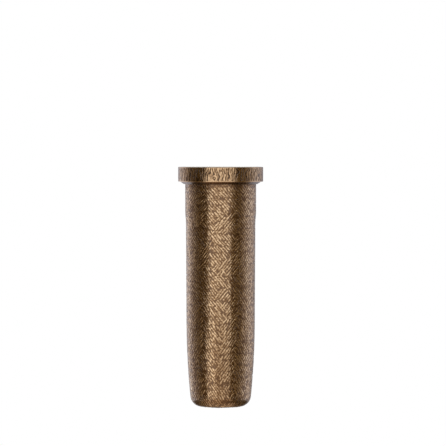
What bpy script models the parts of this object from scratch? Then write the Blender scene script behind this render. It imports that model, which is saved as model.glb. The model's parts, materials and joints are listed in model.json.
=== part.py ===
# Wall-mounted memorial vase: a cast bronze tube that hangs by its lip in the ring of a wall bracket.
# Metres, +Z up. The wall is the plane y = 0 and the room is at -Y. The origin is the middle of the
# bracket plate's rear face. A "depth" is a distance down from the ring's top edge.

import math

import bmesh
import bpy
from mathutils import Matrix

# Tube, outside. It narrows at a soft step under the shoulder, a little down the body, and again
# towards the foot. Each narrowing is a change of radius.
SHOULDER_RADIUS = 0.0301
SHOULDER_DEPTH = 0.038
STEP_LENGTH = 0.009
STEP_NARROWING = 0.00065
BODY_NARROWING = 0.0004
FOOT_NARROWING = 0.00325
TAPER_LENGTH = 0.065
FOOT_CORNER = 0.009
VASE_DEPTH = 0.203

# Tube, inside, and the lip that it hangs by
TUBE_WALL = 0.0027
TUBE_FLOOR = 0.0035
DRAIN_RADIUS = 0.003
LIP_WIDTH = 0.0019
LIP_THICKNESS = 0.0020

# Ring of the bracket. Its wall is measured from the bore to the outside.
RING_WALL = 0.0055
RING_HEIGHT = 0.0121
RING_EDGE = 0.0009
COVE_DROP = 0.0023
COVE_LAND = 0.0009

# Arm, and the plate on the wall. The plate's top stands a little above the arm's.
WALL_GAP = 0.010
PLATE_TOP_DEPTH = 0.0015
PLATE_WIDTH = 0.040
PLATE_HEIGHT = 0.074
PLATE_THICKNESS = 0.005
PLATE_CORNER = 0.006
PLATE_EDGE = 0.0010
ARM_DROP = 0.0012
ARM_HEIGHT = 0.0085
ARM_WAIST_HALF = 0.0125
ARM_RING_HALF = 0.0185
ARM_EDGE = 0.0008
ARM_SINK = 0.003

# Bumper that the tube's back leans on, and the boss that carries it
BUMPER_RISE = 0.0255
BUMPER_RADIUS = 0.0055
BUMPER_HEAD = 0.0040
BUMPER_DOME = 0.0012
STEM_RADIUS = 0.0024
STEM_LENGTH = 0.0045
BOSS_LAND = 0.0015
BOSS_FLARE = 0.0020

# Wall screws and their plugs
UPPER_SCREW_DROP = 0.0205
LOWER_SCREW_RISE = 0.010
SCREW_RADIUS = 0.0022
SCREW_HEAD_RADIUS = 0.0042
SCREW_HEAD_HEIGHT = 0.0023
SCREW_LENGTH = 0.032
SCREW_POINT = 0.004
SCREW_SOCKET = 0.0015
SCREW_SOCKET_DEPTH = 0.0018
PLUG_WALL = 0.0015
PLUG_RECESS = 0.0023
PLUG_LENGTH = 0.030
PLUG_COLLAR = 0.0006

# Lock screw in the ring's side, turned from the wall direction by this angle
LOCK_ANGLE = math.radians(52)
LOCK_RADIUS = 0.0020
LOCK_SUNK = 0.0005
LOCK_SOCKET = 0.0012
LOCK_SOCKET_DEPTH = 0.0024
LOCK_POINT = 0.0006

# Gasket and liner
GASKET_THICKNESS = 0.0008
LINER_WALL = 0.0012
LINER_FLOOR = 0.0014
LINER_CORNER = 0.006
LINER_FLANGE = 0.0009
LINER_OVERLAP = 0.0026
LINER_CLEARANCE = 0.0005
LINER_FOOT_GAP = 0.0012

# Clearances: where pieces seat, and where one slides in another
SEAT_GAP = 0.0003
RUNNING_GAP = 0.0004

# Sizes that follow from those above
BODY_TOP_RADIUS = SHOULDER_RADIUS - STEP_NARROWING
BODY_LOW_RADIUS = BODY_TOP_RADIUS - BODY_NARROWING
FOOT_RADIUS = BODY_LOW_RADIUS - FOOT_NARROWING
BORE_RADIUS = SHOULDER_RADIUS + RUNNING_GAP
RING_RADIUS = BORE_RADIUS + RING_WALL
LIP_RADIUS = SHOULDER_RADIUS + LIP_WIDTH
SEAT_RADIUS = LIP_RADIUS + RUNNING_GAP
AXIS_Y = -(RING_RADIUS + WALL_GAP)
RIM_Z = PLATE_TOP_DEPTH + PLATE_HEIGHT / 2
ARM_TOP_DEPTH = PLATE_TOP_DEPTH + ARM_DROP
LIP_TOP = LINER_FLANGE + SEAT_GAP
LIP_UNDERSIDE = LIP_TOP + LIP_THICKNESS
GASKET_TOP = LIP_UNDERSIDE + SEAT_GAP
SEAT_DEPTH = GASKET_TOP + GASKET_THICKNESS + SEAT_GAP
RING_UNDERSIDE = RING_HEIGHT + COVE_DROP
FOOT_START = VASE_DEPTH - FOOT_CORNER
PLUG_BORE = SCREW_RADIUS + SEAT_GAP

LARGE_STEPS = 56
SMALL_STEPS = 28
OVERCUT = 0.002


def clear_scene():
    for obj in list(bpy.data.objects):
        bpy.data.objects.remove(obj)


def collection(name):
    made = bpy.data.collections.new(name)
    bpy.context.scene.collection.children.link(made)
    return made


def material(name, colour, metallic, roughness):
    made = bpy.data.materials.new(name)
    made.use_nodes = True
    shader = made.node_tree.nodes["Principled BSDF"]
    shader.inputs["Base Color"].default_value = (*colour, 1)
    shader.inputs["Metallic"].default_value = metallic
    shader.inputs["Roughness"].default_value = roughness
    return made


def link(name, data, home):
    obj = bpy.data.objects.new(name, data)
    home.objects.link(obj)
    return obj


def arc(radius, depth, size, start, end, count):
    """Points of an arc about (radius, depth). 0 degrees points outwards, and 90 degrees down."""
    angles = [math.radians(start + (end - start) * i / (count - 1)) for i in range(count)]
    return [(radius + size * math.cos(a), depth + size * math.sin(a)) for a in angles]


def turned(name, profile, home, closed=False, steps=LARGE_STEPS, place=None):
    """Turn (radius, depth) points about an axis. They run down the outer side, top to bottom."""
    mesh = bpy.data.meshes.new(name)
    points = [(radius, 0, -depth) for radius, depth in profile]
    edges = [(i, i + 1) for i in range(len(points) - 1)]
    if closed:
        edges.append((len(points) - 1, 0))
    mesh.from_pydata(points, edges, [])
    obj = link(name, mesh, home)
    screw = obj.modifiers.new("turn", "SCREW")
    screw.steps = screw.render_steps = steps
    screw.use_merge_vertices = True
    screw.merge_threshold = 0.00001
    obj.matrix_world = place if place else Matrix.Translation((0, AXIS_Y, RIM_Z))
    return obj


def as_mesh(obj):
    """Replace an object's curve or modifiers with the mesh that they make, its doubles merged."""
    bpy.context.view_layer.update()
    evaluated = obj.evaluated_get(bpy.context.evaluated_depsgraph_get())
    mesh = bpy.data.meshes.new_from_object(evaluated)
    work = bmesh.new()
    work.from_mesh(mesh)
    bmesh.ops.remove_doubles(work, verts=work.verts, dist=0.00001)
    work.to_mesh(mesh)
    work.free()
    made = link(obj.name + "_mesh", mesh, obj.users_collection[0])
    made.matrix_world = obj.matrix_world
    name = obj.name
    bpy.data.objects.remove(obj)
    made.name = name
    return made


def bevelled(obj, width, segments):
    bevel = obj.modifiers.new("rounded edges", "BEVEL")
    bevel.width = width
    bevel.segments = segments
    bevel.limit_method = "ANGLE"
    bevel.angle_limit = math.radians(40)
    return obj


def outline(name, points, thickness, home, place):
    """A flat outline in its own XY plane, thickened both ways along its Z."""
    curve = bpy.data.curves.new(name, "CURVE")
    curve.dimensions = "2D"
    curve.fill_mode = "BOTH"
    curve.extrude = thickness / 2
    spline = curve.splines.new("POLY")
    spline.points.add(len(points) - 1)
    for point, (x, y) in zip(spline.points, points):
        point.co = (x, y, 0, 1)
    spline.use_cyclic_u = True
    obj = link(name, curve, home)
    obj.matrix_world = place
    return as_mesh(obj)


def boolean(obj, other, operation):
    """Join or cut a piece with another, which stays as a wire guide, and return its new mesh."""
    cut = obj.modifiers.new(other.name, "BOOLEAN")
    cut.operation = operation
    cut.solver = "EXACT"
    cut.object = other
    other.hide_render = True
    other.display_type = "WIRE"
    return as_mesh(obj)


def finished(obj, finish, smooth_angle=32):
    """Give a piece its material, shaded smooth but for its corners."""
    obj = as_mesh(obj)
    obj.data.materials.clear()
    obj.data.materials.append(finish)
    obj.data.shade_smooth()
    obj.data.set_sharp_from_angle(angle=math.radians(smooth_angle))
    return obj


def tube_radius(depth):
    """Radius of the tube's outside, above its foot's rounded corner."""
    if depth <= SHOULDER_DEPTH:
        return SHOULDER_RADIUS
    body_start = SHOULDER_DEPTH + STEP_LENGTH
    if depth < body_start:
        part = (depth - SHOULDER_DEPTH) / STEP_LENGTH
        part = part * part * (3 - 2 * part)
        return SHOULDER_RADIUS + (BODY_TOP_RADIUS - SHOULDER_RADIUS) * part
    taper_start = FOOT_START - TAPER_LENGTH
    if depth < taper_start:
        part = (depth - body_start) / (taper_start - body_start)
        return BODY_TOP_RADIUS + (BODY_LOW_RADIUS - BODY_TOP_RADIUS) * part
    part = (depth - taper_start) / TAPER_LENGTH
    return BODY_LOW_RADIUS + (FOOT_RADIUS - BODY_LOW_RADIUS) * part**2


def tube_depths(top, bottom, step_points, taper_points):
    """Depths where a wall that follows the tube needs a point."""
    taper_start = FOOT_START - TAPER_LENGTH
    step = [SHOULDER_DEPTH + STEP_LENGTH * i / step_points for i in range(step_points + 1)]
    taper = [taper_start + TAPER_LENGTH * i / taper_points for i in range(taper_points + 1)]
    return [top] + [d for d in step + taper if top < d < bottom] + [bottom]


def y_axis_at(depth, y=0.0):
    """Place a turned piece so that its depth runs into the wall, with its top at y."""
    turn = Matrix.Rotation(math.radians(90), 4, "X")
    return Matrix.Translation((0, y, RIM_Z - depth)) @ turn


def screw_depths():
    """Depths of the two wall screws, from the plate's own ends."""
    return {
        "upper": PLATE_TOP_DEPTH + UPPER_SCREW_DROP,
        "lower": PLATE_TOP_DEPTH + PLATE_HEIGHT - LOWER_SCREW_RISE,
    }


def bumper_depth():
    return PLATE_TOP_DEPTH + PLATE_HEIGHT - BUMPER_RISE


def bumper_tip_y():
    """Where the bumper's dome ends, a seat gap behind the widest tube that it meets."""
    return AXIS_Y + tube_radius(bumper_depth() - BUMPER_RADIUS) + SEAT_GAP


def lock_place():
    """Frame of the lock screw: its top looks out of the ring, and its depth runs to the tube."""
    turn = Matrix.Rotation(LOCK_ANGLE, 4, "Z") @ Matrix.Rotation(math.radians(-90), 4, "X")
    height = RIM_Z - (SEAT_DEPTH + RING_HEIGHT) / 2
    return Matrix.Translation((0, AXIS_Y, height)) @ turn


def make_ring(home):
    """The ring: rounded edges outside, a sloped underside, and a seat for the lip in its bore."""
    edge = RING_RADIUS - RING_EDGE
    profile = arc(edge, RING_EDGE, RING_EDGE, -90, 0, 4)
    profile += arc(edge, RING_HEIGHT - RING_EDGE, RING_EDGE, 0, 90, 4)
    profile += [(BORE_RADIUS + COVE_LAND, RING_UNDERSIDE), (BORE_RADIUS, RING_UNDERSIDE)]
    profile += [(BORE_RADIUS, SEAT_DEPTH), (SEAT_RADIUS, SEAT_DEPTH), (SEAT_RADIUS, 0)]
    return turned("ring_bracket", profile, home, True)


def make_plate(home):
    half_width = PLATE_WIDTH / 2 - PLATE_CORNER
    half_height = PLATE_HEIGHT / 2 - PLATE_CORNER
    corners = [(1, 1, 0), (-1, 1, 90), (-1, -1, 180), (1, -1, 270)]
    points = []
    for x, z, start in corners:
        points += arc(x * half_width, z * half_height, PLATE_CORNER, start, start + 90, 7)
    turn = Matrix.Rotation(math.radians(90), 4, "X")
    place = Matrix.Translation((0, -PLATE_THICKNESS / 2, 0)) @ turn
    return bevelled(outline("plate", points, PLATE_THICKNESS, home, place), PLATE_EDGE, 2)


def make_arm(home):
    """A block between plate and ring. Its sides draw in to a waist and flare to both ends."""
    ring_y = AXIS_Y + math.sqrt(RING_RADIUS**2 - ARM_RING_HALF**2) - ARM_SINK
    plate_y = -PLATE_THICKNESS / 2
    plate_half = PLATE_WIDTH / 2 - PLATE_CORNER
    side_points = 9
    side = []
    for i in range(side_points):
        part = 2 * i / (side_points - 1) - 1
        end_half = plate_half if part < 0 else ARM_RING_HALF
        half = ARM_WAIST_HALF + (end_half - ARM_WAIST_HALF) * part * part
        side.append((half, plate_y + (ring_y - plate_y) * i / (side_points - 1)))
    points = side + [(-x, y) for x, y in reversed(side)]
    place = Matrix.Translation((0, 0, RIM_Z - ARM_TOP_DEPTH - ARM_HEIGHT / 2))
    arm = bevelled(outline("arm", points, ARM_HEIGHT, home, place), ARM_EDGE, 2)
    inside = (SEAT_RADIUS + RING_RADIUS) / 2
    profile = [(0, -OVERCUT), (inside, -OVERCUT), (inside, RING_UNDERSIDE), (0, RING_UNDERSIDE)]
    return boolean(arm, turned("arm_end_cutter", profile, home), "DIFFERENCE")


def make_boss(home):
    """A drafted boss from the plate to the back of the bumper's head."""
    foot_y = -PLATE_THICKNESS / 2
    seat_y = bumper_tip_y() + BUMPER_HEAD + SEAT_GAP
    top = BUMPER_RADIUS + BOSS_LAND
    profile = [(0, 0), (top, 0), (top + BOSS_FLARE, foot_y - seat_y), (0, foot_y - seat_y)]
    return turned("boss", profile, home, steps=SMALL_STEPS, place=y_axis_at(bumper_depth(), seat_y))


def make_screw_cutter(name, depth, home):
    """Countersunk hole: the screw's own outline with the seat gap round it."""
    slope = (SCREW_HEAD_RADIUS - SCREW_RADIUS) / SCREW_HEAD_HEIGHT
    mouth = SCREW_HEAD_RADIUS + SEAT_GAP + slope * OVERCUT
    hole = SCREW_RADIUS + SEAT_GAP
    through = PLATE_THICKNESS + OVERCUT
    profile = [(0, -OVERCUT), (mouth, -OVERCUT)]
    profile += [(hole, SCREW_HEAD_HEIGHT), (hole, through), (0, through)]
    place = y_axis_at(depth, -PLATE_THICKNESS)
    return turned(name + "_cutter", profile, home, steps=SMALL_STEPS, place=place)


def make_stem_cutter(home):
    radius = STEM_RADIUS + SEAT_GAP
    seat_y = bumper_tip_y() + BUMPER_HEAD + SEAT_GAP
    bottom = STEM_LENGTH
    profile = [(0, -OVERCUT), (radius, -OVERCUT), (radius, bottom), (0, bottom)]
    place = y_axis_at(bumper_depth(), seat_y)
    return turned("stem_cutter", profile, home, steps=SMALL_STEPS, place=place)


def make_lock_cutter(home):
    radius = LOCK_RADIUS + SEAT_GAP
    outer = -(RING_RADIUS + OVERCUT)
    inner = -(BORE_RADIUS - OVERCUT)
    profile = [(0, outer), (radius, outer), (radius, inner), (0, inner)]
    return turned("lock_cutter", profile, home, steps=SMALL_STEPS, place=lock_place())


def make_ring_bracket(home, tools, finish):
    bracket = make_ring(home)
    for piece in (make_arm(tools), make_plate(tools), make_boss(tools)):
        bracket = boolean(bracket, piece, "UNION")
    cutters = [make_stem_cutter(tools), make_lock_cutter(tools)]
    cutters += [make_screw_cutter(name, depth, tools) for name, depth in screw_depths().items()]
    for cutter in cutters:
        bracket = boolean(bracket, cutter, "DIFFERENCE")
    return finished(bracket, finish)


def socket_cutter(name, radius, top, depth, home, place):
    """A six-sided socket, sunk into a screw's head."""
    bottom = top + depth
    profile = [(0, top - OVERCUT), (radius, top - OVERCUT), (radius, bottom), (0, bottom)]
    return turned(name + "_socket", profile, home, steps=6, place=place)


def make_wall_screw(name, depth, home, tools, finish):
    place = y_axis_at(depth, -PLATE_THICKNESS)
    profile = [
        (0, 0),
        (SCREW_HEAD_RADIUS, 0),
        (SCREW_RADIUS, SCREW_HEAD_HEIGHT),
        (SCREW_RADIUS, SCREW_LENGTH - SCREW_POINT),
        (0, SCREW_LENGTH),
    ]
    screw = turned("wall_screw_" + name, profile, home, steps=SMALL_STEPS, place=place)
    socket = socket_cutter(screw.name, SCREW_SOCKET, 0, SCREW_SOCKET_DEPTH, tools, place)
    return finished(boolean(screw, socket, "DIFFERENCE"), finish)


def make_wall_plug(name, depth, home, finish):
    """A sleeve round the screw's shank, with a thin collar, set a little under the wall's face."""
    outer = PLUG_BORE + PLUG_WALL
    collar = outer + PLUG_COLLAR
    profile = [
        (PLUG_BORE, 0),
        (collar, 0),
        (collar, PLUG_COLLAR),
        (outer, PLUG_COLLAR * 2),
        (outer, PLUG_LENGTH - PLUG_WALL),
        (outer - PLUG_COLLAR, PLUG_LENGTH),
        (PLUG_BORE, PLUG_LENGTH),
    ]
    place = y_axis_at(depth, PLUG_RECESS)
    plug = turned("wall_plug_" + name, profile, home, True, SMALL_STEPS, place)
    return finished(plug, finish)


def make_bumper(home, finish):
    """Push-in bumper: a domed head towards the tube and a stem in the boss."""
    dome_radius = (BUMPER_RADIUS**2 + BUMPER_DOME**2) / (2 * BUMPER_DOME)
    half_angle = math.degrees(math.asin(BUMPER_RADIUS / dome_radius))
    profile = arc(0, dome_radius, dome_radius, -90, -90 + half_angle, 5)
    profile += [(BUMPER_RADIUS, BUMPER_HEAD), (STEM_RADIUS, BUMPER_HEAD)]
    profile += [(STEM_RADIUS, BUMPER_HEAD + STEM_LENGTH), (0, BUMPER_HEAD + STEM_LENGTH)]
    profile[0] = (0, 0)
    place = y_axis_at(bumper_depth(), bumper_tip_y())
    bumper = turned("rubber_bumper", profile, home, steps=SMALL_STEPS, place=place)
    return finished(bumper, finish)


def make_gasket(home, finish):
    inner = BORE_RADIUS
    outer = SEAT_RADIUS - SEAT_GAP
    bottom = GASKET_TOP + GASKET_THICKNESS
    profile = [(inner, GASKET_TOP), (outer, GASKET_TOP), (outer, bottom), (inner, bottom)]
    return finished(turned("seat_gasket", profile, home, True), finish)


def make_lock_screw(home, tools, finish):
    """A headless screw whose flat point stops a seat gap short of the tube."""
    outer = -(RING_RADIUS - LOCK_SUNK)
    inner = -(SHOULDER_RADIUS + SEAT_GAP)
    profile = [(0, outer), (LOCK_RADIUS, outer), (LOCK_RADIUS, inner - LOCK_POINT)]
    profile += [(LOCK_RADIUS - LOCK_POINT, inner), (0, inner)]
    screw = turned("lock_screw", profile, home, steps=SMALL_STEPS, place=lock_place())
    place = lock_place()
    socket = socket_cutter("lock_screw", LOCK_SOCKET, outer, LOCK_SOCKET_DEPTH, tools, place)
    return finished(boolean(screw, socket, "DIFFERENCE"), finish)


def make_vase_body(home, finish):
    """The cast tube, one closed outline from its lip round the foot and back up the inside."""
    floor = VASE_DEPTH - TUBE_FLOOR
    inner_corner = FOOT_CORNER - TUBE_WALL
    profile = [(LIP_RADIUS, LIP_TOP), (LIP_RADIUS, LIP_UNDERSIDE)]
    profile += [(tube_radius(d), d) for d in tube_depths(LIP_UNDERSIDE, FOOT_START, 4, 7)]
    profile += arc(FOOT_RADIUS - FOOT_CORNER, FOOT_START, FOOT_CORNER, 0, 90, 8)[1:]
    profile += [(DRAIN_RADIUS, VASE_DEPTH), (DRAIN_RADIUS, floor)]
    corner_depth = floor - inner_corner
    corner_radius = tube_radius(corner_depth) - TUBE_WALL
    corner = arc(corner_radius - inner_corner, corner_depth, inner_corner, 90, 0, 6)
    wall = [(tube_radius(d) - TUBE_WALL, d) for d in tube_depths(LIP_TOP, corner_depth, 2, 5)]
    profile += corner + wall[::-1][1:]
    return finished(turned("vase_body", profile, home, True), finish)


def make_liner(home, finish):
    """A straight-drafted cup that hangs by its flange on the tube's lip."""
    bottom = VASE_DEPTH - TUBE_FLOOR - LINER_FOOT_GAP
    top_radius = tube_radius(SHOULDER_DEPTH + STEP_LENGTH) - TUBE_WALL - LINER_CLEARANCE
    foot_radius = FOOT_RADIUS - TUBE_WALL - LINER_CLEARANCE
    corner_radius = foot_radius - LINER_CORNER
    inner_corner = LINER_CORNER - LINER_WALL
    inner_depth = bottom - LINER_FLOOR - inner_corner
    flange_radius = SHOULDER_RADIUS - TUBE_WALL + LINER_OVERLAP
    profile = [(0, bottom - LINER_FLOOR)]
    profile += arc(corner_radius, inner_depth, inner_corner, 90, 0, 6)
    profile += [(top_radius - LINER_WALL, 0), (flange_radius, 0)]
    profile += [(flange_radius, LINER_FLANGE), (top_radius, LINER_FLANGE)]
    profile += arc(corner_radius, bottom - LINER_CORNER, LINER_CORNER, 0, 90, 7)
    profile += [(0, bottom)]
    return finished(turned("liner", profile, home), finish)


def main():
    clear_scene()
    home = collection("memorial_vase")
    tools = collection("cutters")
    bronze = material("cast_bronze", (0.21, 0.13, 0.07), 1.0, 0.38)
    steel = material("stainless_steel", (0.60, 0.60, 0.58), 1.0, 0.30)
    rubber = material("black_rubber", (0.02, 0.02, 0.02), 0.0, 0.80)
    nylon = material("grey_nylon", (0.35, 0.36, 0.37), 0.0, 0.55)
    polythene = material("natural_polythene", (0.70, 0.67, 0.60), 0.0, 0.45)
    make_ring_bracket(home, tools, bronze)
    for name, depth in screw_depths().items():
        make_wall_screw(name, depth, home, tools, steel)
        make_wall_plug(name, depth, home, nylon)
    make_bumper(home, rubber)
    make_gasket(home, rubber)
    make_lock_screw(home, tools, steel)
    make_vase_body(home, bronze)
    make_liner(home, polythene)


main()
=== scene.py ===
# Looks of the wall-mounted memorial vase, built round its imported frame.
# Metres, +Z up. The wall is the plane y = 0 and the room is at -Y.
# A depth is a distance down from the ring's top edge.
import json
import math
from functools import partial

import bmesh
import bpy
from mathutils import Matrix, Vector

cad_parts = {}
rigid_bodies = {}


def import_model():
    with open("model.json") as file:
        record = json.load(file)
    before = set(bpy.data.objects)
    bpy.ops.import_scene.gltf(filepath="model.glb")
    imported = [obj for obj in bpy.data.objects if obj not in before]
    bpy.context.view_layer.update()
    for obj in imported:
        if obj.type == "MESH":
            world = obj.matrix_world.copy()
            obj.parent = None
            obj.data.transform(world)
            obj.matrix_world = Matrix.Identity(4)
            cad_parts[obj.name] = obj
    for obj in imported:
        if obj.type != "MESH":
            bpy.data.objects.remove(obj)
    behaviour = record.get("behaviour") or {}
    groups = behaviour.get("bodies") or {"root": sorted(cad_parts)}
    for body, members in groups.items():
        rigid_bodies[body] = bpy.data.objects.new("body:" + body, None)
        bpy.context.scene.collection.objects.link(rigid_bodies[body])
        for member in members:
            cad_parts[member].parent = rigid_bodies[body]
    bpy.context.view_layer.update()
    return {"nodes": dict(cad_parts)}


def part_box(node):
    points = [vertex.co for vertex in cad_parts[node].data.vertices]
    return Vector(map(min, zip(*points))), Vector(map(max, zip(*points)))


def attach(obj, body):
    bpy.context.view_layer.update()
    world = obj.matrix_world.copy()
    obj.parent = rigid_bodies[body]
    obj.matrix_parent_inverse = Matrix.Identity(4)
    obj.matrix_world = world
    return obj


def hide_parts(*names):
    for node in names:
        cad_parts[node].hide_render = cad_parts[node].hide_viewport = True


for startObject in list(bpy.data.objects):
    bpy.data.objects.remove(startObject)
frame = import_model()

mm = 0.001
turn = 2 * math.pi
nearly = 1e-6  # lengths closer than this are taken as the same
middleMark = 0.5  # the height mark of a surface without relief
noiseLow, noiseHigh = 0.3, 0.7  # most of a noise's values lie between these
linerLow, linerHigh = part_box("liner")
axisY = (linerLow.y + linerHigh.y) / 2  # the tube's axis stands at x = 0
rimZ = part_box("ring_bracket")[1].z
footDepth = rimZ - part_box("vase_body")[0].z
print("frame loaded, rim at", round(rimZ / mm, 2), "mm, foot", round(footDepth / mm, 2), "mm below it")


def tint(code):
    # sRGB hex to linear colour
    parts = [int(code[i:i + 2], 16) / 255 for i in (1, 3, 5)]
    return tuple(p / 12.92 if p <= 0.04045 else ((p + 0.055) / 1.055) ** 2.4 for p in parts) + (1,)


def feed(node, inputs):
    # Fill a node's inputs, in order or by name. Each takes a plain value, an output, or a node,
    # of which it takes the first output.
    for name, value in inputs.items() if isinstance(inputs, dict) else enumerate(inputs):
        if isinstance(value, bpy.types.Node):
            value = value.outputs[0]
        if isinstance(value, bpy.types.NodeSocket):
            node.id_data.links.new(value, node.inputs[name])
        else:
            node.inputs[name].default_value = value


def addNode(tree, kind, inputs=(), **settings):
    # One node with its settings and its inputs
    node = tree.nodes.new(kind)
    for name, value in settings.items():
        setattr(node, name, value)
    feed(node, inputs)
    return node


def newFinish(name):
    # An empty material, addNode for its tree, and where on the piece each point lies
    made = bpy.data.materials.new(name)
    made.use_nodes = True
    add = partial(addNode, made.node_tree)
    return made, add, add("ShaderNodeTexCoord").outputs["Object"]


def endFinish(made, add, drive, tones, roughness, bump, plain):
    # The colour goes from tone to tone as the drive goes from 0 to 1, and the roughness follows
    # it too. The bump has its own inputs, and the plain values are the same all over.
    colours = add("ShaderNodeValToRGB", [drive])
    elements = colours.color_ramp.elements
    for position, code in tones[1:-1]:
        elements.new(position)
    for element, (position, code) in zip(elements, tones):
        element.position = position
        element.color = tint(code)
    rough = add("ShaderNodeMapRange", {"Value": drive, "To Min": roughness[0], "To Max": roughness[1]})
    feed(made.node_tree.nodes["Principled BSDF"], {
        "Base Color": colours, "Roughness": rough, "Normal": add("ShaderNodeBump", bump), **plain})
    return made


def castBronze(name, look):
    # Lacquered cast bronze: dark brown patina stays in the recesses, the high marks are rubbed
    # to warm tan metal, and a clear lacquer keeps the highlights tight over a fine sand grain.
    # It runs into the gaps too, so a stroke shines more as the skin under it does ("level").
    # Under the ring the relief mark is also lowered for painted shade, so there the recess and patina tones
    # stand for shade.
    made, add, where = newFinish(name)
    clouds = add("ShaderNodeTexNoise", {"Vector": where, "Scale": 1 / look["cloudSize"], "Detail": 3.0})
    drawn = add("ShaderNodeVectorMath", [where, look["grainDraw"]], operation="MULTIPLY")
    grain = add("ShaderNodeTexNoise", {"Vector": drawn, "Scale": 1 / look["grainSize"], "Detail": 4.0})
    rubbed = add("ShaderNodeAttribute", attribute_name="relief").outputs["Fac"]
    for noise, amount in ((clouds, look["cloudAmount"]), (grain, look["grainAmount"])):
        lift = add("ShaderNodeMapRange", {
            "Value": noise, "From Min": noiseLow, "From Max": noiseHigh, "To Min": -amount, "To Max": amount})
        rubbed = add("ShaderNodeMath", [rubbed, lift], operation="ADD")
    rubbed.use_clamp = True
    ownWay = add("ShaderNodeNewGeometry").outputs["Normal"]
    level = add("ShaderNodeAttribute", attribute_name="level").outputs["Vector"]
    leant = add("ShaderNodeVectorMath", [ownWay, level], operation="ADD")
    levelled = add("ShaderNodeVectorMath", [leant], operation="NORMALIZE")
    tones = [(0, look["recess"]), (look["patinaAt"], look["patina"]), (1, look["rubbed"])]
    bump = {
        "Height": grain, "Normal": levelled, "Strength": look["grainBump"], "Distance": look["grainDepth"]}
    return endFinish(made, add, rubbed, tones, look["roughness"], bump, {
        "Metallic": 1.0, "Coat Weight": 1.0, "Coat Roughness": look["coatRoughness"]})


def turnedSteel(name, look):
    # Plain stainless steel, turned: silver grey, with faint rings that blur its highlights.
    made, add, where = newFinish(name)
    rings = add("ShaderNodeTexNoise", {"Vector": where, "Scale": 1 / look["ringSize"], "Detail": 2.0})
    smears = add("ShaderNodeTexNoise", {"Vector": where, "Scale": 1 / look["smearSize"], "Detail": 3.0})
    tones = [(0, look["dark"]), (1, look["light"])]
    bump = {"Height": rings, "Strength": look["ringBump"], "Distance": look["ringDepth"]}
    return endFinish(made, add, smears, tones, look["roughness"], bump, {"Metallic": 1.0})


def mouldedPlastic(name, look):
    # Injection-moulded plastic: even colour with faint flow clouds, and a fine spark-eroded
    # mould texture that gives a soft, broad sheen.
    made, add, where = newFinish(name)
    clouds = add("ShaderNodeTexNoise", {"Vector": where, "Scale": 1 / look["cloudSize"], "Detail": 3.0})
    texture = add("ShaderNodeTexNoise", {"Vector": where, "Scale": 1 / look["grainSize"], "Detail": 3.0})
    tones = [(noiseLow, look["dark"]), (noiseHigh, look["light"])]
    bump = {"Height": texture, "Strength": look["grainBump"], "Distance": look["grainDepth"]}
    return endFinish(made, add, clouds, tones, look["roughness"], bump, {"IOR": look["ior"]})


tubeBronze = castBronze("lacquered cast bronze, hatched", {
    "recess": "#785636", "patina": "#A9855E", "rubbed": "#F0CFA6", "patinaAt": 0.45,
    "cloudSize": 14 * mm, "cloudAmount": 0.05, "grainSize": 1.5 * mm, "grainDraw": (1, 1, 1),
    "grainAmount": 0.6, "grainBump": 0.5, "grainDepth": 0.04 * mm, "roughness": (0.34, 0.16),
    "coatRoughness": 0.14})
ringBronze = castBronze("lacquered cast bronze, bark grain", {
    "recess": "#4A3219", "patina": "#8C6842", "rubbed": "#E6C298", "patinaAt": 0.45,
    "cloudSize": 11 * mm, "cloudAmount": 0.05, "grainSize": 0.9 * mm, "grainDraw": (1, 1, 0.3),
    "grainAmount": 0.3, "grainBump": 0.3, "grainDepth": 0.04 * mm, "roughness": (0.34, 0.17),
    "coatRoughness": 0.14})
screwSteel = turnedSteel("turned stainless steel", {
    "dark": "#A5A39E", "light": "#CFCDC8", "smearSize": 5 * mm, "ringSize": 0.4 * mm,
    "ringBump": 0.25, "ringDepth": 0.03 * mm, "roughness": (0.2, 0.38)})
plugNylon = mouldedPlastic("moulded grey nylon", {
    "dark": "#6C6E70", "light": "#7E8082", "cloudSize": 6 * mm, "grainSize": 0.35 * mm,
    "grainBump": 0.3, "grainDepth": 0.04 * mm, "roughness": (0.43, 0.57), "ior": 1.53})
rubber = mouldedPlastic("moulded black rubber", {
    "dark": "#17171A", "light": "#26262A", "cloudSize": 3 * mm, "grainSize": 0.3 * mm,
    "grainBump": 0.3, "grainDepth": 0.05 * mm, "roughness": (0.65, 0.79), "ior": 1.52})
linerPolythene = mouldedPlastic("moulded natural polythene", {
    "dark": "#D6D0C4", "light": "#E4DFD4", "cloudSize": 12 * mm, "grainSize": 0.5 * mm,
    "grainBump": 0.3, "grainDepth": 0.05 * mm, "roughness": (0.35, 0.49), "ior": 1.51})
print("finishes made")


def arc(radius, depth, size, start, end, count):
    # Points of an arc. 0 degrees looks outwards, and 90 degrees down.
    angles = [math.radians(start + (end - start) * i / (count - 1)) for i in range(count)]
    return [(radius + size * math.cos(a), depth + size * math.sin(a)) for a in angles]


def spaced(start, end, step):
    # Values from start to end, both included, no further apart than step
    count = max(1, math.ceil(abs(end - start) / step))
    return [start + (end - start) * i / count for i in range(count + 1)]


def keptMesh(work, name):
    mesh = bpy.data.meshes.new(name)
    work.to_mesh(mesh)
    work.free()
    return mesh


def bridgeRows(work, pairs, count):
    # Faces between rows of count points that go all the way round. A row may be a single point.
    for upper, lower in pairs:
        for step in range(count):
            after = (step + 1) % count
            corners = [upper[step % len(upper)], lower[step % len(lower)]]
            corners += [lower[after % len(lower)], upper[after % len(upper)]]
            corners = list(dict.fromkeys(corners))
            if len(corners) > 2:
                work.faces.new(corners)


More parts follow.
